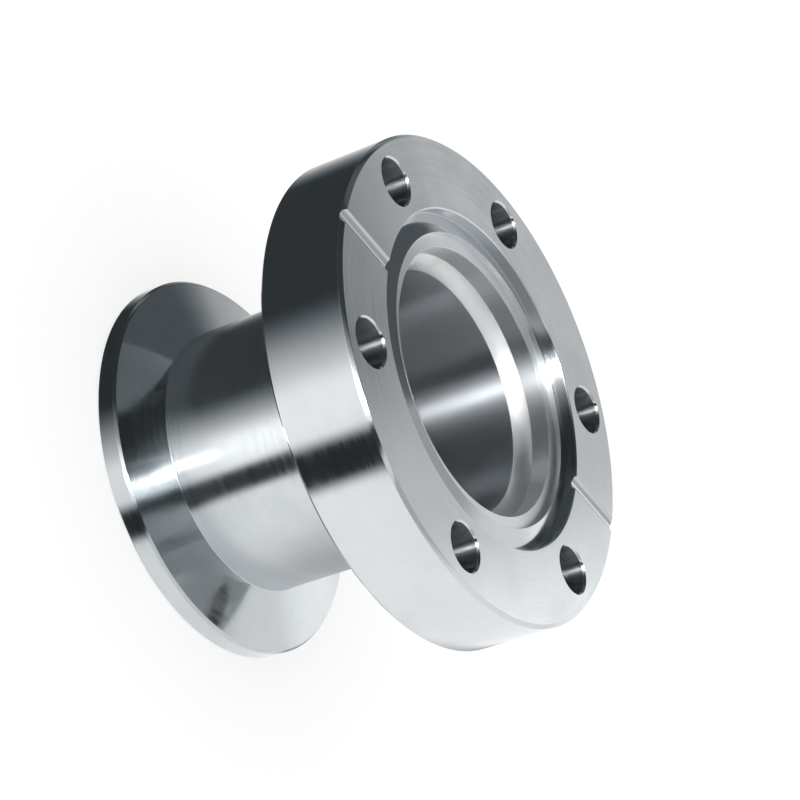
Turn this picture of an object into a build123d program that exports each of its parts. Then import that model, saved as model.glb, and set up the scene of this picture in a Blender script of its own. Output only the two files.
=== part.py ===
from build123d import *
import os
from math import radians, tan

# Straight vacuum adapter: a bolted knife-edge flange at one end, a clamp flange at the other.
# The clamp flange and its tube are turned in one piece. The tube slips into the knife-edge
# flange from behind and is welded to it on the vacuum side.
# Millimetres. z = 0 is the clamp flange's sealing face, +Z runs up the axis, and the bolted
# face of the knife-edge flange is on top. The leak-check grooves lie along Y.

# Whole adapter
overall_length = 45.0  # sealing face to sealing face

# Clamp flange, 40 mm size, and its tube
tube_od = 38.1
tube_wall = 1.65
clamp_flange_od = 54.9
clamp_rim_thickness = 3.0
clamp_cone_angle = 15.0  # of the clamped back face, from the plane of the face
clamp_edge_break = 0.3
centring_recess_d = 41.2
centring_recess_depth = 3.0
centring_recess_edge_break = 0.2

# Knife-edge flange, 2.75 in size. Its rings follow each other outwards from the tube's socket:
# the knife's tip is 41.9 across, the gasket recess 48.3, the bolt circle 58.7, the rim 69.85.
socket_clearance = 0.05  # radial, around the tube
land_width = 1.85  # flat ring from the socket to the knife's upright inner flank
knife_flank_width = 3.2  # sloped outer flank, from the knife's tip to the recess wall
bolt_inner_wall = 1.835  # metal between the gasket recess and the bolt holes
bolt_hole_d = 6.73
bolt_outer_wall = 2.21  # metal between the bolt holes and the rim
bolt_count = 6

flange_thickness = 12.7
knife_tip_depth = 0.65  # below the bolted face
knife_height = 0.85  # of the tip over the land inside it
knife_flank_angle = 20.0  # of the outer flank, from the plane of the face
leak_groove_width = 2.4
leak_groove_depth = 0.7
leak_groove_lead_in = 1.0  # how far each groove's cutter starts inside the recess
flange_edge_break = 0.5
bolt_hole_edge_break = 0.25
gasket_recess_edge_break = 0.15

# Weld at the tube's end, inside the socket
tube_end_drop = 3.5  # outer corner of the tube's end, below the land
weld_leg = 0.8  # height of the weld's outer toe on the socket wall, above the tube's end
weld_reach = 1.3  # depth of the weld's inner toe in the tube, below the tube's end
weld_crown = 0.2  # rise of the weld's rounded face over the line between its toes

# Radii that follow from the sizes above
tube_r = tube_od / 2
tube_bore_r = tube_r - tube_wall
clamp_r = clamp_flange_od / 2
centring_recess_r = centring_recess_d / 2
bolt_hole_r = bolt_hole_d / 2
socket_r = tube_r + socket_clearance
knife_tip_r = socket_r + land_width
gasket_recess_r = knife_tip_r + knife_flank_width
bolt_circle_r = gasket_recess_r + bolt_inner_wall + bolt_hole_r
flange_r = bolt_circle_r + bolt_hole_r + bolt_outer_wall

# Levels that follow from the sizes above
cone_top_z = clamp_rim_thickness + (clamp_r - tube_r) * tan(radians(clamp_cone_angle))
flange_back_z = overall_length - flange_thickness
knife_tip_z = overall_length - knife_tip_depth
knife_root_z = knife_tip_z - knife_flank_width * tan(radians(knife_flank_angle))
land_z = knife_tip_z - knife_height
tube_end_z = land_z - tube_end_drop

# Leak-check grooves: the cutter's radius, and the gaps between bolt holes that they run through
leak_groove_r = (leak_groove_width**2 / 4 + leak_groove_depth**2) / (2 * leak_groove_depth)
leak_groove_start = gasket_recess_r - leak_groove_lead_in
leak_groove_gaps = (bolt_count // 4, bolt_count // 4 + bolt_count // 2)

os.makedirs("parts", exist_ok=True)


# Knife-edge flange: turned ring, then bolt holes and leak-check grooves
with BuildPart() as cf_flange:
    with BuildSketch(Plane.XZ) as flange_section:
        with BuildLine():
            Polyline(
                (socket_r, flange_back_z),
                (flange_r, flange_back_z),
                (flange_r, overall_length),
                (gasket_recess_r, overall_length),
                (gasket_recess_r, knife_root_z),
                (knife_tip_r, knife_tip_z),
                (knife_tip_r, land_z),
                (socket_r, land_z),
                close=True,
            )
        make_face()
        chamfer(flange_section.vertices().group_by(Axis.X)[-1], length=flange_edge_break)
        recess_mouth = flange_section.vertices().group_by(Axis.Y)[-1].sort_by(Axis.X)[0]
        chamfer(recess_mouth, length=gasket_recess_edge_break)
    revolve(axis=Axis.Z)

    with BuildSketch(Plane.XY.offset(flange_back_z)):
        with PolarLocations(bolt_circle_r, bolt_count):
            Circle(bolt_hole_r)
    extrude(amount=flange_thickness, mode=Mode.SUBTRACT)
    bolt_hole_mouths = cf_flange.edges(Select.LAST).filter_by(GeomType.CIRCLE)
    chamfer(bolt_hole_mouths, length=bolt_hole_edge_break)

    for gap in leak_groove_gaps:
        outward = Vector(1, 0, 0).rotate(Axis.Z, (gap + 0.5) * 360 / bolt_count)
        groove_start = outward * leak_groove_start + Vector(0, 0, overall_length)
        with BuildSketch(Plane(groove_start, x_dir=(0, 0, 1), z_dir=outward)):
            with Locations((leak_groove_r - leak_groove_depth, 0)):
                Circle(leak_groove_r)
        extrude(amount=flange_r - leak_groove_start, mode=Mode.SUBTRACT)


# Clamp flange and tube: one turned piece with a rim, a cone, a centring recess and a long tube
with BuildPart() as kf_stub:
    with BuildSketch(Plane.XZ) as stub_section:
        with BuildLine():
            Polyline(
                (centring_recess_r, 0),
                (clamp_r, 0),
                (clamp_r, clamp_rim_thickness),
                (tube_r, cone_top_z),
                (tube_r, tube_end_z),
                (tube_bore_r, tube_end_z - weld_reach),
                (tube_bore_r, centring_recess_depth),
                (centring_recess_r, centring_recess_depth),
                close=True,
            )
        make_face()
        chamfer(stub_section.vertices().group_by(Axis.X)[-1], length=clamp_edge_break)
        centring_mouth = stub_section.vertices().group_by(Axis.Y)[0].sort_by(Axis.X)[0]
        chamfer(centring_mouth, length=centring_recess_edge_break)
    revolve(axis=Axis.Z)


# Weld: a rounded ring that fuses the tube's end to the socket wall
with BuildPart() as weld_bead:
    with BuildSketch(Plane.XZ):
        with BuildLine():
            outer_toe = (socket_r, tube_end_z + weld_leg)
            inner_toe = (tube_bore_r, tube_end_z - weld_reach)
            Polyline(inner_toe, (tube_r, tube_end_z), (socket_r, tube_end_z), outer_toe)
            SagittaArc(inner_toe, outer_toe, weld_crown)
        make_face()
    revolve(axis=Axis.Z)


cf_flange.part.label = "cf_flange"
export_step(cf_flange.part, "parts/cf_flange.step")

kf_stub.part.label = "kf_stub"
export_step(kf_stub.part, "parts/kf_stub.step")

weld_bead.part.label = "weld_bead"
export_step(weld_bead.part, "parts/weld_bead.step")
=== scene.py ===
from collections import namedtuple
from math import atan2, cos, pi, radians, sin, tan

import bmesh
import bpy
from mathutils import Matrix, Vector


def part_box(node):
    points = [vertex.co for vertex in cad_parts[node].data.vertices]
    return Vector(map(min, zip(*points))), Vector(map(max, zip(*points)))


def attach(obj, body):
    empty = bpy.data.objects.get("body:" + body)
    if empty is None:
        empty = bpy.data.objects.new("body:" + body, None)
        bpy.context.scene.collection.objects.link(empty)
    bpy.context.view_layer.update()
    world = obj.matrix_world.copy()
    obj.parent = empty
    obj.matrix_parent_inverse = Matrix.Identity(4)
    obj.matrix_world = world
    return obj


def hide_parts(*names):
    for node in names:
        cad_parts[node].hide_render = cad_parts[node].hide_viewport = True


# Looks of a straight vacuum adapter in turned stainless steel: a bolted knife-edge flange, a
# clamp flange turned in one piece with its tube, and the weld ring that joins them.
# Sizes are in millimetres, as in the CAD source, and become metres when a mesh is made.
# Angles are in degrees. Azimuth 0 is +X and azimuth 90 is +Y.

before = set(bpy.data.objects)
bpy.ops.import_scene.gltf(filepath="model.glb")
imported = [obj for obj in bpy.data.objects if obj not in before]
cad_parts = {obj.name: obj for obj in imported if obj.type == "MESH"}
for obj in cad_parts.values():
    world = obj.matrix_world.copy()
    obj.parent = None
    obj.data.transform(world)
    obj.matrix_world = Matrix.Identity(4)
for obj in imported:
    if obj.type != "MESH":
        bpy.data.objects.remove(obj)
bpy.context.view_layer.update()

MM = 0.001

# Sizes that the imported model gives
flange_low, flange_high = (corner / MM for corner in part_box("cf_flange"))
stub_low, stub_high = (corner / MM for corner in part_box("kf_stub"))
bead_low, bead_high = (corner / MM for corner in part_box("weld_bead"))
flange_r = flange_high.x
flange_back_z = flange_low.z
bolted_face_z = flange_high.z
clamp_r = stub_high.x
tube_end_z = stub_high.z
socket_r = bead_high.x
weld_top_z = bead_high.z
weld_foot_z = bead_low.z

# Knife-edge flange
knife_tip_r = 20.95
gasket_recess_r = 24.15
knife_tip_depth = 0.65
knife_height = 0.85
knife_flank_angle = 20.0
bolt_circle_r = 29.35
bolt_hole_r = 3.365
bolt_count = 6
bolt_hole_edge_break = 0.25
rim_edge_break = 0.5
recess_edge_break = 0.15
leak_groove_width = 2.4
leak_groove_depth = 0.7
leak_groove_lead_in = 1.0  # how far each groove's cutter starts inside the recess
leak_groove_start_r = gasket_recess_r - leak_groove_lead_in

# Clamp flange and tube
tube_r = 19.05
tube_bore_r = 17.4
clamp_rim_thickness = 3.0
clamp_cone_angle = 15.0
clamp_edge_break = 0.3
centring_recess_r = 20.6
centring_recess_depth = 3.0
centring_edge_break = 0.2
cone_top_z = clamp_rim_thickness + (clamp_r - tube_r) * tan(radians(clamp_cone_angle))

# Weld ring
weld_crown = 0.2
weld_ripples = 210
weld_ripple_height = 0.002
weld_ripple_sweep = 2.2  # how far a ripple's middle runs ahead of its ends, in radians of its phase

# Rolled corners left by the tool and by deburring
crisp_edge = 0.05
soft_edge = 0.12

# Mesh density
turning_steps = 384
weld_steps = 960
weld_crown_steps = 14
hole_steps = 72
arc_steps = 4

# Mesh making
sharp_angle = 32.0  # edges that turn by more stay sharp
merge_distance = 1e-8  # metres
cutter_overrun = 1.0  # how far a cutter stands out of the piece that it cuts


# ---------------------------------------------------------------- Turned meshes

def rolled(corners):
    """Points of an outline given as (radius, height, corner radius), with an arc at each corner."""
    points = []
    for i, (r, z, edge) in enumerate(corners):
        corner = Vector((r, z))
        if not edge:
            points.append(corner)
            continue
        before = (Vector(corners[i - 1][:2]) - corner).normalized()
        after = (Vector(corners[(i + 1) % len(corners)][:2]) - corner).normalized()
        half_angle = before.angle(after) / 2
        centre = corner + (before + after).normalized() * edge / sin(half_angle)
        start = corner + before * edge / tan(half_angle) - centre
        stop = corner + after * edge / tan(half_angle) - centre
        turn = atan2(start.cross(stop), start.dot(stop))
        for k in range(arc_steps + 1):
            points.append(centre + Matrix.Rotation(turn * k / arc_steps, 2) @ start)
    return points


def turned(name, sections):
    """A ring through closed outlines of (radius, height) points, set evenly round Z."""
    shape = bmesh.new()
    rings = []
    for k, outline in enumerate(sections):
        angle = 2 * pi * k / len(sections)
        out = Vector((cos(angle), sin(angle), 0))
        rings.append([shape.verts.new((out * r + Vector((0, 0, z))) * MM) for r, z in outline])
    for ring, following in zip(rings, rings[1:] + rings[:1]):
        for i in range(len(ring)):
            shape.faces.new((ring[i - 1], following[i - 1], following[i], ring[i]))
    bmesh.ops.remove_doubles(shape, verts=shape.verts, dist=merge_distance)
    bmesh.ops.recalc_face_normals(shape, faces=shape.faces)
    return finished(name, shape)


def lathe(name, outline, steps):
    """Turns one closed outline once round Z."""
    return turned(name, [outline] * steps)


def finished(name, shape):
    """A linked object that holds a bmesh's faces."""
    mesh = bpy.data.meshes.new(name)
    shape.to_mesh(mesh)
    shape.free()
    piece = bpy.data.objects.new(name, mesh)
    bpy.context.scene.collection.objects.link(piece)
    return piece


def cut(piece, cutter):
    """Takes the cutter's shape out of the piece and removes the cutter."""
    boolean = piece.modifiers.new("cut", "BOOLEAN")
    boolean.operation = "DIFFERENCE"
    boolean.solver = "EXACT"
    boolean.object = cutter
    bpy.context.view_layer.update()
    evaluated = piece.evaluated_get(bpy.context.evaluated_depsgraph_get())
    mesh = bpy.data.meshes.new_from_object(evaluated)
    piece.modifiers.clear()
    piece.data = mesh
    bpy.data.objects.remove(cutter)


def smooth(piece):
    """Shades curved faces smoothly, and keeps real edges sharp and flat faces flat."""
    piece.data.shade_smooth()
    piece.data.set_sharp_from_angle(angle=radians(sharp_angle))
    weighted = piece.modifiers.new("flat faces stay flat", "WEIGHTED_NORMAL")
    weighted.keep_sharp = True


# ---------------------------------------------------------------- Pieces

def flange_outline():
    """The knife-edge flange's section: back, rim, bolted face, recess, knife and land."""
    knife_tip_z = bolted_face_z - knife_tip_depth
    knife_root_z = knife_tip_z - (gasket_recess_r - knife_tip_r) * tan(radians(knife_flank_angle))
    land_z = knife_tip_z - knife_height
    return rolled([
        (socket_r, flange_back_z, crisp_edge),
        (flange_r - rim_edge_break, flange_back_z, soft_edge),
        (flange_r, flange_back_z + rim_edge_break, soft_edge),
        (flange_r, bolted_face_z - rim_edge_break, soft_edge),
        (flange_r - rim_edge_break, bolted_face_z, soft_edge),
        (gasket_recess_r + recess_edge_break, bolted_face_z, crisp_edge),
        (gasket_recess_r, bolted_face_z - recess_edge_break, crisp_edge),
        (gasket_recess_r, knife_root_z, crisp_edge),
        (knife_tip_r, knife_tip_z, crisp_edge),
        (knife_tip_r, land_z, crisp_edge),
        (socket_r, land_z, crisp_edge),
    ])


def bolt_hole_centres():
    """The bolt holes' centres, seen from above, in metres."""
    angles = [2 * pi * i / bolt_count for i in range(bolt_count)]
    return [(bolt_circle_r * cos(angle) * MM, bolt_circle_r * sin(angle) * MM) for angle in angles]


def bolt_hole_cutter():
    """One cutter for all bolt holes, each flared where it breaks through a face."""
    flared_r = bolt_hole_r + bolt_hole_edge_break + cutter_overrun
    outline = rolled([
        (0, flange_back_z - cutter_overrun, 0),
        (flared_r, flange_back_z - cutter_overrun, 0),
        (bolt_hole_r, flange_back_z + bolt_hole_edge_break, soft_edge),
        (bolt_hole_r, bolted_face_z - bolt_hole_edge_break, soft_edge),
        (flared_r, bolted_face_z + cutter_overrun, 0),
        (0, bolted_face_z + cutter_overrun, 0),
    ])
    shape = bmesh.new()
    for x, y in bolt_hole_centres():
        one = lathe("hole", outline, hole_steps)
        one.data.transform(Matrix.Translation((x, y, 0)))
        shape.from_mesh(one.data)
        bpy.data.objects.remove(one)
    return finished("bolt_hole_cutter", shape)


def leak_groove_cutter():
    """Two round bars along Y, lying over the bolted face from the gasket recess to the rim."""
    radius = (leak_groove_width**2 / 4 + leak_groove_depth**2) / (2 * leak_groove_depth)
    stop_r = flange_r + cutter_overrun
    outline = [(0, leak_groove_start_r), (radius, leak_groove_start_r), (radius, stop_r), (0, stop_r)]
    shape = bmesh.new()
    for side in (1, -1):
        bar = lathe("bar", outline, hole_steps)
        lay_down = Matrix.Rotation(-side * pi / 2, 4, "X")
        lift = Matrix.Translation((0, 0, (bolted_face_z - leak_groove_depth + radius) * MM))
        bar.data.transform(lift @ lay_down)
        shape.from_mesh(bar.data)
        bpy.data.objects.remove(bar)
    return finished("leak_groove_cutter", shape)


def make_flange():
    """The knife-edge flange: a turned ring with bolt holes and leak-check grooves."""
    piece = lathe("knife_edge_flange", flange_outline(), turning_steps)
    cut(piece, bolt_hole_cutter())
    cut(piece, leak_groove_cutter())
    smooth(piece)
    return piece


def make_stub():
    """The clamp flange with its tube: rim, cone, tube, bore and centring recess in one outline."""
    cone_foot_z = clamp_rim_thickness + clamp_edge_break * tan(radians(clamp_cone_angle))
    outline = rolled([
        (centring_recess_r + centring_edge_break, 0, crisp_edge),
        (clamp_r - clamp_edge_break, 0, crisp_edge),
        (clamp_r, clamp_edge_break, crisp_edge),
        (clamp_r, clamp_rim_thickness - clamp_edge_break, crisp_edge),
        (clamp_r - clamp_edge_break, cone_foot_z, crisp_edge),
        (tube_r, cone_top_z, soft_edge),
        (tube_r, tube_end_z, 0),
        (tube_bore_r, weld_foot_z, 0),
        (tube_bore_r, centring_recess_depth, soft_edge),
        (centring_recess_r, centring_recess_depth, soft_edge),
        (centring_recess_r, centring_edge_break, crisp_edge),
    ])
    piece = lathe("clamp_flange_and_tube", outline, turning_steps)
    smooth(piece)
    return piece


def weld_outline(angle):
    """The weld's section at one place round the ring: a rippled crown, then the fused corner."""
    inner_toe = Vector((tube_bore_r, weld_foot_z))
    outer_toe = Vector((socket_r, weld_top_z))
    along = (outer_toe - inner_toe).normalized()
    outwards = Vector((-along.y, along.x))
    points = []
    for k in range(weld_crown_steps + 1):
        share = k / weld_crown_steps
        rise = 4 * share * (1 - share)
        ripple = weld_ripple_height * (sin(weld_ripples * angle + weld_ripple_sweep * rise) - 1)
        points.append(inner_toe.lerp(outer_toe, share) + outwards * rise * (weld_crown + ripple))
    return points + [Vector((socket_r, tube_end_z)), Vector((tube_r, tube_end_z))]


def make_weld():
    """The weld ring, with its fine ripple."""
    piece = turned("weld_ring", [weld_outline(2 * pi * k / weld_steps) for k in range(weld_steps)])
    smooth(piece)
    return piece


# ---------------------------------------------------------------- Shader nodes

quarter_turn = 0.25  # of a full turn, which lays the stretch of a reflection across the marks


def new_material(name):
    """A material, its node tree and its shader."""
    material = bpy.data.materials.new(name)
    material.use_nodes = True
    return material, material.node_tree, material.node_tree.nodes["Principled BSDF"]


def add(tree, kind, inputs=None, **settings):
    """Adds a node. Inputs are plain values or output sockets of other nodes."""
    node = tree.nodes.new(kind)
    for name, value in settings.items():
        setattr(node, name, value)
    for key, value in (inputs or {}).items():
        if isinstance(value, bpy.types.NodeSocket):
            tree.links.new(value, node.inputs[key])
        else:
            node.inputs[key].default_value = value
    return node


def calc(tree, operation, *terms):
    """The result of one math step on numbers or sockets."""
    return add(tree, "ShaderNodeMath", dict(enumerate(terms)), operation=operation).outputs[0]


def dot(tree, vector, direction):
    """How far a vector reaches along a direction."""
    inputs = {0: vector, 1: direction}
    return add(tree, "ShaderNodeVectorMath", inputs, operation="DOT_PRODUCT").outputs["Value"]


def length(tree, vector):
    """A vector's length."""
    return add(tree, "ShaderNodeVectorMath", {0: vector}, operation="LENGTH").outputs["Value"]


def separate(tree, vector):
    """A vector's X, Y and Z."""
    return add(tree, "ShaderNodeSeparateXYZ", {0: vector}).outputs


def object_place(tree):
    """The object's own coordinates, in metres."""
    return add(tree, "ShaderNodeTexCoord").outputs["Object"]


def ramp(tree, value, low, high, start, stop):
    """start below low, stop above high, and a smooth change between them."""
    inputs = {"Value": value, "From Min": low, "From Max": high, "To Min": start, "To Max": stop}
    return add(tree, "ShaderNodeMapRange", inputs, interpolation_type="SMOOTHSTEP").outputs[0]


def noise(tree, vector, scale, detail=3.0, roughness=0.5):
    """Soft noise from 0 to 1, finer as scale grows."""
    inputs = {"Vector": vector, "Scale": scale, "Detail": detail, "Roughness": roughness}
    return add(tree, "ShaderNodeTexNoise", inputs).outputs[0]


def mix_numbers(tree, share, first, second):
    """The first number where share is 0, the second where it is 1."""
    return add(tree, "ShaderNodeMix", {0: share, 2: first, 3: second}).outputs[0]


def mix_colours(tree, share, first, second):
    """The first colour where share is 0, the second where it is 1."""
    inputs = {0: share, 6: (*first, 1), 7: (*second, 1)}
    return add(tree, "ShaderNodeMix", inputs, data_type="RGBA").outputs[2]


def set_bump(tree, shader, height, depth):
    """Raises the surface by depth where height is 1."""
    bump = add(tree, "ShaderNodeBump", {"Strength": 1.0, "Distance": depth * MM, "Height": height})
    tree.links.new(bump.outputs[0], shader.inputs["Normal"])


def set_turned_sheen(tree, shader, anisotropy):
    """Stretches reflections across marks that run round Z."""
    tangent = add(tree, "ShaderNodeTangent", direction_type="RADIAL", axis="Z")
    tree.links.new(tangent.outputs[0], shader.inputs["Tangent"])
    shader.inputs["Anisotropic"].default_value = anisotropy
    shader.inputs["Anisotropic Rotation"].default_value = quarter_turn


# ---------------------------------------------------------------- Materials

# Levels between which a noise takes effect. Most of it lies between 0.25 and 0.75.
whole_range = (0.25, 0.75)
middle_range = (0.3, 0.7)
ring_range = (0.2, 0.8)
straw_range = (0.5, 0.72)

# Turned steel. Where a finish's base is darker or lighter than the flange and tube steel, the difference
# is painted shade or painted light, as noted at each.
TurnedFinish = namedtuple("TurnedFinish", "light dark roughness anisotropy mark_depth")
TURNED_FINISHES = {
    "turned flange steel":
        TurnedFinish((0.69, 0.719, 0.743), (0.645, 0.678, 0.697), 0.10, 0.5, 0.0012),
    # Darker base than the flange steel: painted shade in the gasket recess.
    "seal steel with painted shade":
        TurnedFinish((0.591, 0.613, 0.635), (0.552, 0.578, 0.594), 0.14, 0.5, 0.001),
    # Slightly lighter base than the flange steel: painted light on the socket wall. Its higher roughness
    # and stronger stretch are its own finish.
    "socket steel with painted light":
        TurnedFinish((0.709, 0.734, 0.758), (0.65, 0.678, 0.697), 0.36, 0.9, 0.001),
    # Darker base than the flange steel: painted shade in the leak-check grooves. The even roughness is
    # the milled finish.
    "milled groove steel with painted shade":
        TurnedFinish((0.591, 0.613, 0.635), (0.552, 0.573, 0.594), 0.16, 0.0, 0.0005),
    "turned tube steel":
        TurnedFinish((0.68, 0.709, 0.733), (0.63, 0.663, 0.687), 0.22, 0.9, 0.0008),
    # Darker base than the tube steel: painted shade inside the bore.
    "drawn bore steel with painted shade":
        TurnedFinish((0.502, 0.528, 0.553), (0.443, 0.472, 0.502), 0.40, 1.0, 0.0004),
    # Darker base than the tube steel: painted shade on the clamp flange beneath the knife-edge flange.
    "turned clamp steel with painted shade":
        TurnedFinish((0.591, 0.618, 0.635), (0.542, 0.573, 0.589), 0.10, 0.5, 0.001),
}
fine_mark_pitch = 0.11
fine_mark_breaks = 6.0  # how often a mark changes along its length
fine_mark_share = 0.45  # height of the fine marks against the coarse ones
coarse_mark_pitch = 0.45
coarse_mark_breaks = 2.0
mark_roughness = 0.03  # change of roughness either way
smudge_roughness = 0.035
smudge_scale = 110.0
smudge_detail = 4.0
smudge_grain = 0.55

# Drilled steel. Its dark base is painted shade inside the deep bolt holes; the grime noise only varies
# it at random.
drilled_light = (0.35, 0.36, 0.37)
drilled_dark = (0.27, 0.28, 0.29)
drilled_roughness = (0.34, 0.42)
drilled_anisotropy = 1.0
drill_ring_pitch = 0.35
drill_ring_depth = 0.0008
grime_scale = 400.0
grime_detail = 4.0

# Weld metal
weld_bright = (0.80, 0.81, 0.82)
weld_straw = (0.74, 0.735, 0.725)
weld_roughness = (0.40, 0.50)
weld_relief = 0.05
weld_patch_scale = 260.0
weld_wave_scale = 700.0
weld_pit_scale = 2600.0
weld_pit_share = 0.3  # height of the pits against the waves


def turning_coordinates(tree, place):
    """The direction from the Z axis, and the distance across the turning marks in millimetres."""
    parts = separate(tree, place)
    flat = add(tree, "ShaderNodeCombineXYZ", {"X": parts["X"], "Y": parts["Y"]}).outputs[0]
    around = add(tree, "ShaderNodeVectorMath", {0: flat}, operation="NORMALIZE").outputs[0]
    across = calc(tree, "DIVIDE", calc(tree, "ADD", length(tree, flat), parts["Z"]), MM)
    return around, across


def tool_marks(tree, around, across, pitch, breaks):
    """Fine rings that a turning tool and its polishing leave, broken up along their length."""
    inputs = {0: around, "Scale": breaks}
    turn = add(tree, "ShaderNodeVectorMath", inputs, operation="SCALE").outputs[0]
    lift = add(tree, "ShaderNodeCombineXYZ", {"Z": calc(tree, "DIVIDE", across, pitch)}).outputs[0]
    where = add(tree, "ShaderNodeVectorMath", {0: turn, 1: lift}, operation="ADD").outputs[0]
    return noise(tree, where, 1.0, detail=2.0)


def turned_steel(name):
    """Turned and lightly polished stainless steel: fine rings and faint smudges."""
    finish = TURNED_FINISHES[name]
    material, tree, shader = new_material(name)
    place = object_place(tree)
    around, across = turning_coordinates(tree, place)
    fine = tool_marks(tree, around, across, fine_mark_pitch, fine_mark_breaks)
    coarse = tool_marks(tree, around, across, coarse_mark_pitch, coarse_mark_breaks)
    smudge = noise(tree, place, smudge_scale, smudge_detail, smudge_grain)

    shade = mix_colours(tree, ramp(tree, smudge, *middle_range, 0.0, 1.0), finish.light, finish.dark)
    tree.links.new(shade, shader.inputs["Base Color"])

    by_smudge = ramp(tree, smudge, *whole_range, -smudge_roughness, smudge_roughness)
    by_mark = ramp(tree, coarse, *whole_range, -mark_roughness, mark_roughness)
    change = calc(tree, "ADD", by_smudge, by_mark)
    tree.links.new(calc(tree, "ADD", change, finish.roughness), shader.inputs["Roughness"])

    height = calc(tree, "ADD", calc(tree, "MULTIPLY", fine, fine_mark_share), coarse)
    set_bump(tree, shader, height, finish.mark_depth)
    set_turned_sheen(tree, shader, finish.anisotropy)
    shader.inputs["Metallic"].default_value = 1.0
    return material


def drilled_steel(name):
    """Drilled hole walls: rougher, with the drill's rings, and a dark base that is painted shade inside
    the deep holes.
    """
    material, tree, shader = new_material(name)
    place = object_place(tree)
    inputs = {"W": calc(tree, "DIVIDE", separate(tree, place)["Z"], drill_ring_pitch * MM), "Scale": 1.0}
    rings = add(tree, "ShaderNodeTexNoise", inputs, noise_dimensions="1D").outputs[0]
    grime = noise(tree, place, grime_scale, grime_detail)
    tree.links.new(mix_colours(tree, grime, drilled_light, drilled_dark), shader.inputs["Base Color"])
    tree.links.new(ramp(tree, rings, *ring_range, *drilled_roughness), shader.inputs["Roughness"])
    set_bump(tree, shader, rings, drill_ring_depth)
    set_turned_sheen(tree, shader, drilled_anisotropy)
    shader.inputs["Metallic"].default_value = 1.0
    return material


def fused_steel(name):
    """Bright weld metal with a faint straw tint in patches, soft waves and small pits."""
    material, tree, shader = new_material(name)
    place = object_place(tree)
    patch = noise(tree, place, weld_patch_scale)
    straw = ramp(tree, patch, *straw_range, 0.0, 1.0)
    tree.links.new(mix_colours(tree, straw, weld_bright, weld_straw), shader.inputs["Base Color"])
    tree.links.new(ramp(tree, patch, *middle_range, *weld_roughness), shader.inputs["Roughness"])
    waves = noise(tree, place, weld_wave_scale, detail=1.0)
    pits = noise(tree, place, weld_pit_scale, detail=2.0)
    height = calc(tree, "ADD", waves, calc(tree, "MULTIPLY", pits, weld_pit_share))
    set_bump(tree, shader, height, weld_relief)
    shader.inputs["Metallic"].default_value = 1.0
    return material


# ---------------------------------------------------------------- Dressing

# Where each material stands in its piece's list
TURNED, DRILLED, SEAL, SOCKET, GROOVE = range(5)
TUBE, BORE, CLAMP = range(3)

# How a face is told by its place: the room left beside each wall, and the rise of its normal
wall_margin = 0.02
rim_margin = 0.01
back_margin = 0.1
bore_margin = 0.2
upright_rise = 0.3
level_rise = 0.9999


def flange_finish(face, hole_centres):
    """The place in the list of the material that one of the flange's faces takes."""
    middle = face.center / MM
    radius = middle.xy.length
    in_hole = any((middle.xy - centre).length < bolt_hole_r + wall_margin for centre in hole_centres)
    in_groove = radius < flange_r - rim_margin and abs(middle.x) < leak_groove_width / 2
    if in_hole and abs(face.normal.z) < upright_rise:
        return DRILLED
    if middle.z <= flange_back_z + back_margin:
        return TURNED
    if radius < knife_tip_r + wall_margin:
        return SOCKET
    if radius < gasket_recess_r + wall_margin:
        return SEAL
    if in_groove and face.normal.z < level_rise:
        return GROOVE
    return TURNED


def stub_finish(face):
    """The place in the list of the material that one of the stub's faces takes."""
    middle = face.center / MM
    if middle.xy.length < tube_bore_r + bore_margin:
        return BORE
    if middle.z < cone_top_z:
        return CLAMP
    return TUBE


def dress_flange():
    piece = make_flange()
    piece.data.materials.clear()
    piece.data.materials.append(turned_steel("turned flange steel"))
    piece.data.materials.append(drilled_steel("drilled flange steel with painted shade"))
    piece.data.materials.append(turned_steel("seal steel with painted shade"))
    piece.data.materials.append(turned_steel("socket steel with painted light"))
    piece.data.materials.append(turned_steel("milled groove steel with painted shade"))
    hole_centres = [Vector(centre) / MM for centre in bolt_hole_centres()]
    for face in piece.data.polygons:
        face.material_index = flange_finish(face, hole_centres)
    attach(piece, "root")
    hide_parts("cf_flange")


def dress_stub():
    piece = make_stub()
    piece.data.materials.append(turned_steel("turned tube steel"))
    piece.data.materials.append(turned_steel("drawn bore steel with painted shade"))
    piece.data.materials.append(turned_steel("turned clamp steel with painted shade"))
    for face in piece.data.polygons:
        face.material_index = stub_finish(face)
    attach(piece, "root")
    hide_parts("kf_stub")


def dress_weld():
    piece = make_weld()
    piece.data.materials.append(fused_steel("fused weld steel"))
    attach(piece, "root")
    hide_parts("weld_bead")


# ---------------------------------------------------------------- Studio

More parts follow.
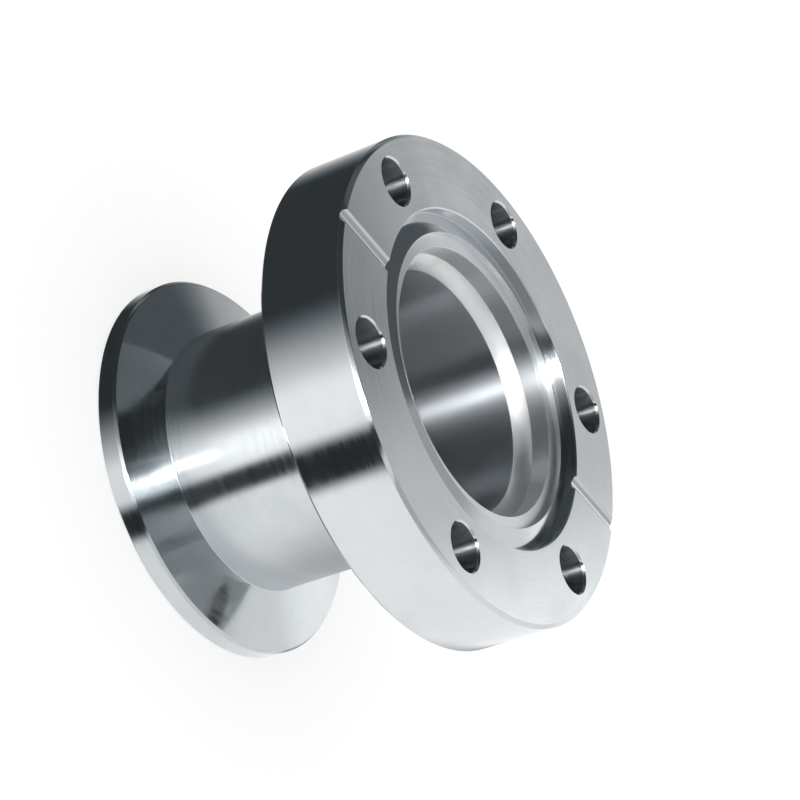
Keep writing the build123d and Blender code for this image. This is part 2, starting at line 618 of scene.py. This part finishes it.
# What the steel reflects: broad cards hung round the object, later ones in front of earlier ones.
# A card reaches half_width to each side of its azimuth, and from its lowest to its highest
# elevation. Past its sides it fades over side_softness, and across its ends over end_softness.
Card = namedtuple("Card", "azimuth half_width side_softness lowest highest end_softness brightness")
CARDS = {
    "low wall": Card(180, 180, 1, -44, 6, 14, 1.05),
    "high wall right": Card(-95, 46, 4, 6, 90, 10, 0.95),
    "face card": Card(-54.5, 6.5, 3.5, 6, 46, 12, 1.24),
    "high wall back": Card(180, 36, 20, 6, 90, 10, 0.85),
    "upper wall": Card(-114, 66, 4, 46, 90, 12, 0.50),
    "dark side low": Card(39.5, 37.5, 50, -90, 6, 14, 0.042),
    "dark side high": Card(36, 38, 36, 6, 90, 14, 0.04),
    "dark corner": Card(-12, 28, 4, 27, 78, 4, 0.15),
    "dark corner low": Card(2, 23, 8, 16, 78, 6, 0.11),
    "bright strip": Card(125, 4, 13, -44, 6, 14, 1.12),
    "bright strip foot": Card(122, 8, 20, -90, -44, 14, 3.2),
    "bright strip top": Card(122, 5, 20, 6, 90, 14, 1.7),
    "bright line": Card(124, 1.3, 3.5, 14, 90, 6, 24.0),
    "dark strip": Card(151, 6, 8, -90, 90, 1, 0.03),
}
zenith = 90
room_brightness = 0.64  # what the steel reflects where no card hangs
backdrop_brightness = 1.0  # what the camera sees, and what lights the floor
dark_tint = (0.87, 1.0, 1.08)
tint_end = 0.5  # the brightness at which the dark cards' tint has gone
white = (1, 1, 1)

# Floor
floor_radius = 3000.0
floor_shade = (0.45, 0.45, 0.45)
floor_glow = 0.62
floor_roughness = 0.9
disc_steps = 96

# Painted shade: a dark patch of floor that shows in the bore
bore_shade = (0.1, 0.1, 0.1)
bore_shade_drop = 0.2

# The grey card on the floor, a sector of a ring round the object: painted shade, which only the steel
# reflects, standing in for the floor's shade beside the tube.
shade_card_azimuth = -98.0
shade_card_half_width = 20.0
shade_card_softness = 70.0
shade_card_inner_radius = 32.0
shade_card_radius = 85.0
shade_card_fade = 0.1  # of each radius
shade_card_brightness = 0.50
shade_card_drop = 0.4


def card_cover(tree, direction, elevation, card):
    """1 where a direction looks at the card, 0 where it misses it, with soft edges."""
    facing = radians(card.azimuth)
    ahead = dot(tree, direction, (cos(facing), sin(facing), 0))
    aside = dot(tree, direction, (-sin(facing), cos(facing), 0))
    off_side = calc(tree, "ABSOLUTE", calc(tree, "ARCTAN2", aside, ahead))
    edge = card.half_width + card.side_softness
    cover = ramp(tree, off_side, radians(card.half_width), radians(edge), 1.0, 0.0)
    soft = card.end_softness / 2
    if card.lowest > -zenith:
        low, high = radians(card.lowest - soft), radians(card.lowest + soft)
        cover = calc(tree, "MULTIPLY", cover, ramp(tree, elevation, low, high, 0.0, 1.0))
    if card.highest < zenith:
        low, high = radians(card.highest - soft), radians(card.highest + soft)
        cover = calc(tree, "MULTIPLY", cover, ramp(tree, elevation, low, high, 1.0, 0.0))
    return cover


def make_world():
    """Even light from all sides, and the cards in what the steel reflects."""
    world = bpy.data.worlds.new("studio")
    bpy.context.scene.world = world
    world.use_nodes = True
    tree = world.node_tree
    direction = add(tree, "ShaderNodeTexCoord").outputs["Generated"]
    elevation = calc(tree, "ARCSINE", separate(tree, direction)["Z"])
    brightness = room_brightness
    for card in CARDS.values():
        cover = card_cover(tree, direction, elevation, card)
        brightness = mix_numbers(tree, cover, brightness, card.brightness)
    reflected = add(tree, "ShaderNodeLightPath").outputs["Is Glossy Ray"]
    seen = mix_numbers(tree, reflected, backdrop_brightness, brightness)
    background = tree.nodes["Background"]
    tree.links.new(seen, background.inputs["Strength"])
    untinted = ramp(tree, seen, 0.0, tint_end, 0.0, 1.0)
    tree.links.new(mix_colours(tree, untinted, dark_tint, white), background.inputs["Color"])


def disc(name, radius, drop=0.0):
    """A flat disc round Z, that far below the object's foot."""
    shape = bmesh.new()
    bmesh.ops.create_circle(shape, cap_ends=True, segments=disc_steps, radius=radius * MM)
    piece = finished(name, shape)
    piece.location.z = -drop * MM
    return piece


def make_floor():
    """A plain pale floor that the camera sees. The steel reflects the cards instead of it."""
    floor = disc("studio_floor", floor_radius)
    material, _, shader = new_material("pale floor")
    shader.inputs["Base Color"].default_value = (*floor_shade, 1)
    shader.inputs["Roughness"].default_value = floor_roughness
    shader.inputs["Specular IOR Level"].default_value = 0.0
    shader.inputs["Emission Color"].default_value = (*white, 1)
    shader.inputs["Emission Strength"].default_value = floor_glow
    floor.data.materials.append(material)
    floor.visible_glossy = False


def make_bore_shade():
    """A dark patch of floor that closes the bore below: painted shade."""
    patch = disc("shaded_floor_in_bore", tube_bore_r, bore_shade_drop)
    material, _, shader = new_material("shaded floor")
    shader.inputs["Base Color"].default_value = (*bore_shade, 1)
    shader.inputs["Roughness"].default_value = floor_roughness
    patch.data.materials.append(material)


def shade_card_cover(tree):
    """1 where the painted shade card lies on its disc, 0 off it, with soft edges."""
    place = object_place(tree)
    inputs = {"Vector": place, "Angle": -radians(shade_card_azimuth)}
    faced = add(tree, "ShaderNodeVectorRotate", inputs, rotation_type="Z_AXIS").outputs[0]
    parts = separate(tree, faced)
    off_side = calc(tree, "ABSOLUTE", calc(tree, "ARCTAN2", parts["Y"], parts["X"]))
    edge = shade_card_half_width + shade_card_softness
    across = ramp(tree, off_side, radians(shade_card_half_width), radians(edge), 1.0, 0.0)
    radius = calc(tree, "DIVIDE", length(tree, place), MM)
    inside = ramp(tree, radius, (1 - shade_card_fade) * shade_card_radius, shade_card_radius, 1.0, 0.0)
    low, high = (1 - shade_card_fade) * shade_card_inner_radius, (1 + shade_card_fade) * shade_card_inner_radius
    outside = ramp(tree, radius, low, high, 0.0, 1.0)
    return calc(tree, "MULTIPLY", calc(tree, "MULTIPLY", across, inside), outside)


def make_shade_card():
    """A glowing grey card on the floor beside the tube, which only the steel sees: a painted reflection
    of the floor's shade there.
    """
    shade_card = disc("painted_shade_card", shade_card_radius, shade_card_drop)
    material, tree, shader = new_material("painted shade card")
    tree.nodes.remove(shader)
    inputs = {"Color": (*white, 1), "Strength": shade_card_brightness}
    card = add(tree, "ShaderNodeEmission", inputs).outputs[0]
    clear = add(tree, "ShaderNodeBsdfTransparent").outputs[0]
    mix = add(tree, "ShaderNodeMixShader", {0: shade_card_cover(tree), 1: clear, 2: card}).outputs[0]
    tree.links.new(mix, tree.nodes["Material Output"].inputs["Surface"])
    shade_card.data.materials.append(material)
    shade_card.visible_camera = False
    shade_card.visible_diffuse = False
    shade_card.visible_shadow = False


# ---------------------------------------------------------------- Camera

view_azimuth = 138.1
view_elevation = 27.7
view_roll = 70.8
view_distance = 402.4
aim_right = -11.6  # where the camera aims, from the middle of the bolted face
aim_up = -3.0
lens = 133.9
sensor_width = 36.0
nearest_seen = 10.0


def make_camera():
    """The camera, rolled about its line of sight so that the upright adapter lies across the view."""
    azimuth, elevation, roll = radians(view_azimuth), radians(view_elevation), radians(view_roll)
    level = cos(elevation)
    back = Vector((level * cos(azimuth), level * sin(azimuth), sin(elevation)))
    level_right = Vector((-sin(azimuth), cos(azimuth), 0))
    level_up = back.cross(level_right)
    right = cos(roll) * level_right + sin(roll) * level_up
    up = back.cross(right)
    aim = Vector((0, 0, bolted_face_z)) + right * aim_right + up * aim_up
    turn = Matrix((right, up, back)).transposed().to_4x4()
    camera = bpy.data.objects.new("camera", bpy.data.cameras.new("camera"))
    bpy.context.scene.collection.objects.link(camera)
    camera.matrix_world = Matrix.Translation((aim + back * view_distance) * MM) @ turn
    camera.data.lens = lens
    camera.data.sensor_width = sensor_width
    camera.data.clip_start = nearest_seen * MM
    bpy.context.scene.camera = camera


dress_flange()
dress_stub()
dress_weld()
make_world()
make_floor()
make_bore_shade()
make_shade_card()
make_camera()
bpy.context.scene.view_settings.view_transform = "Standard"
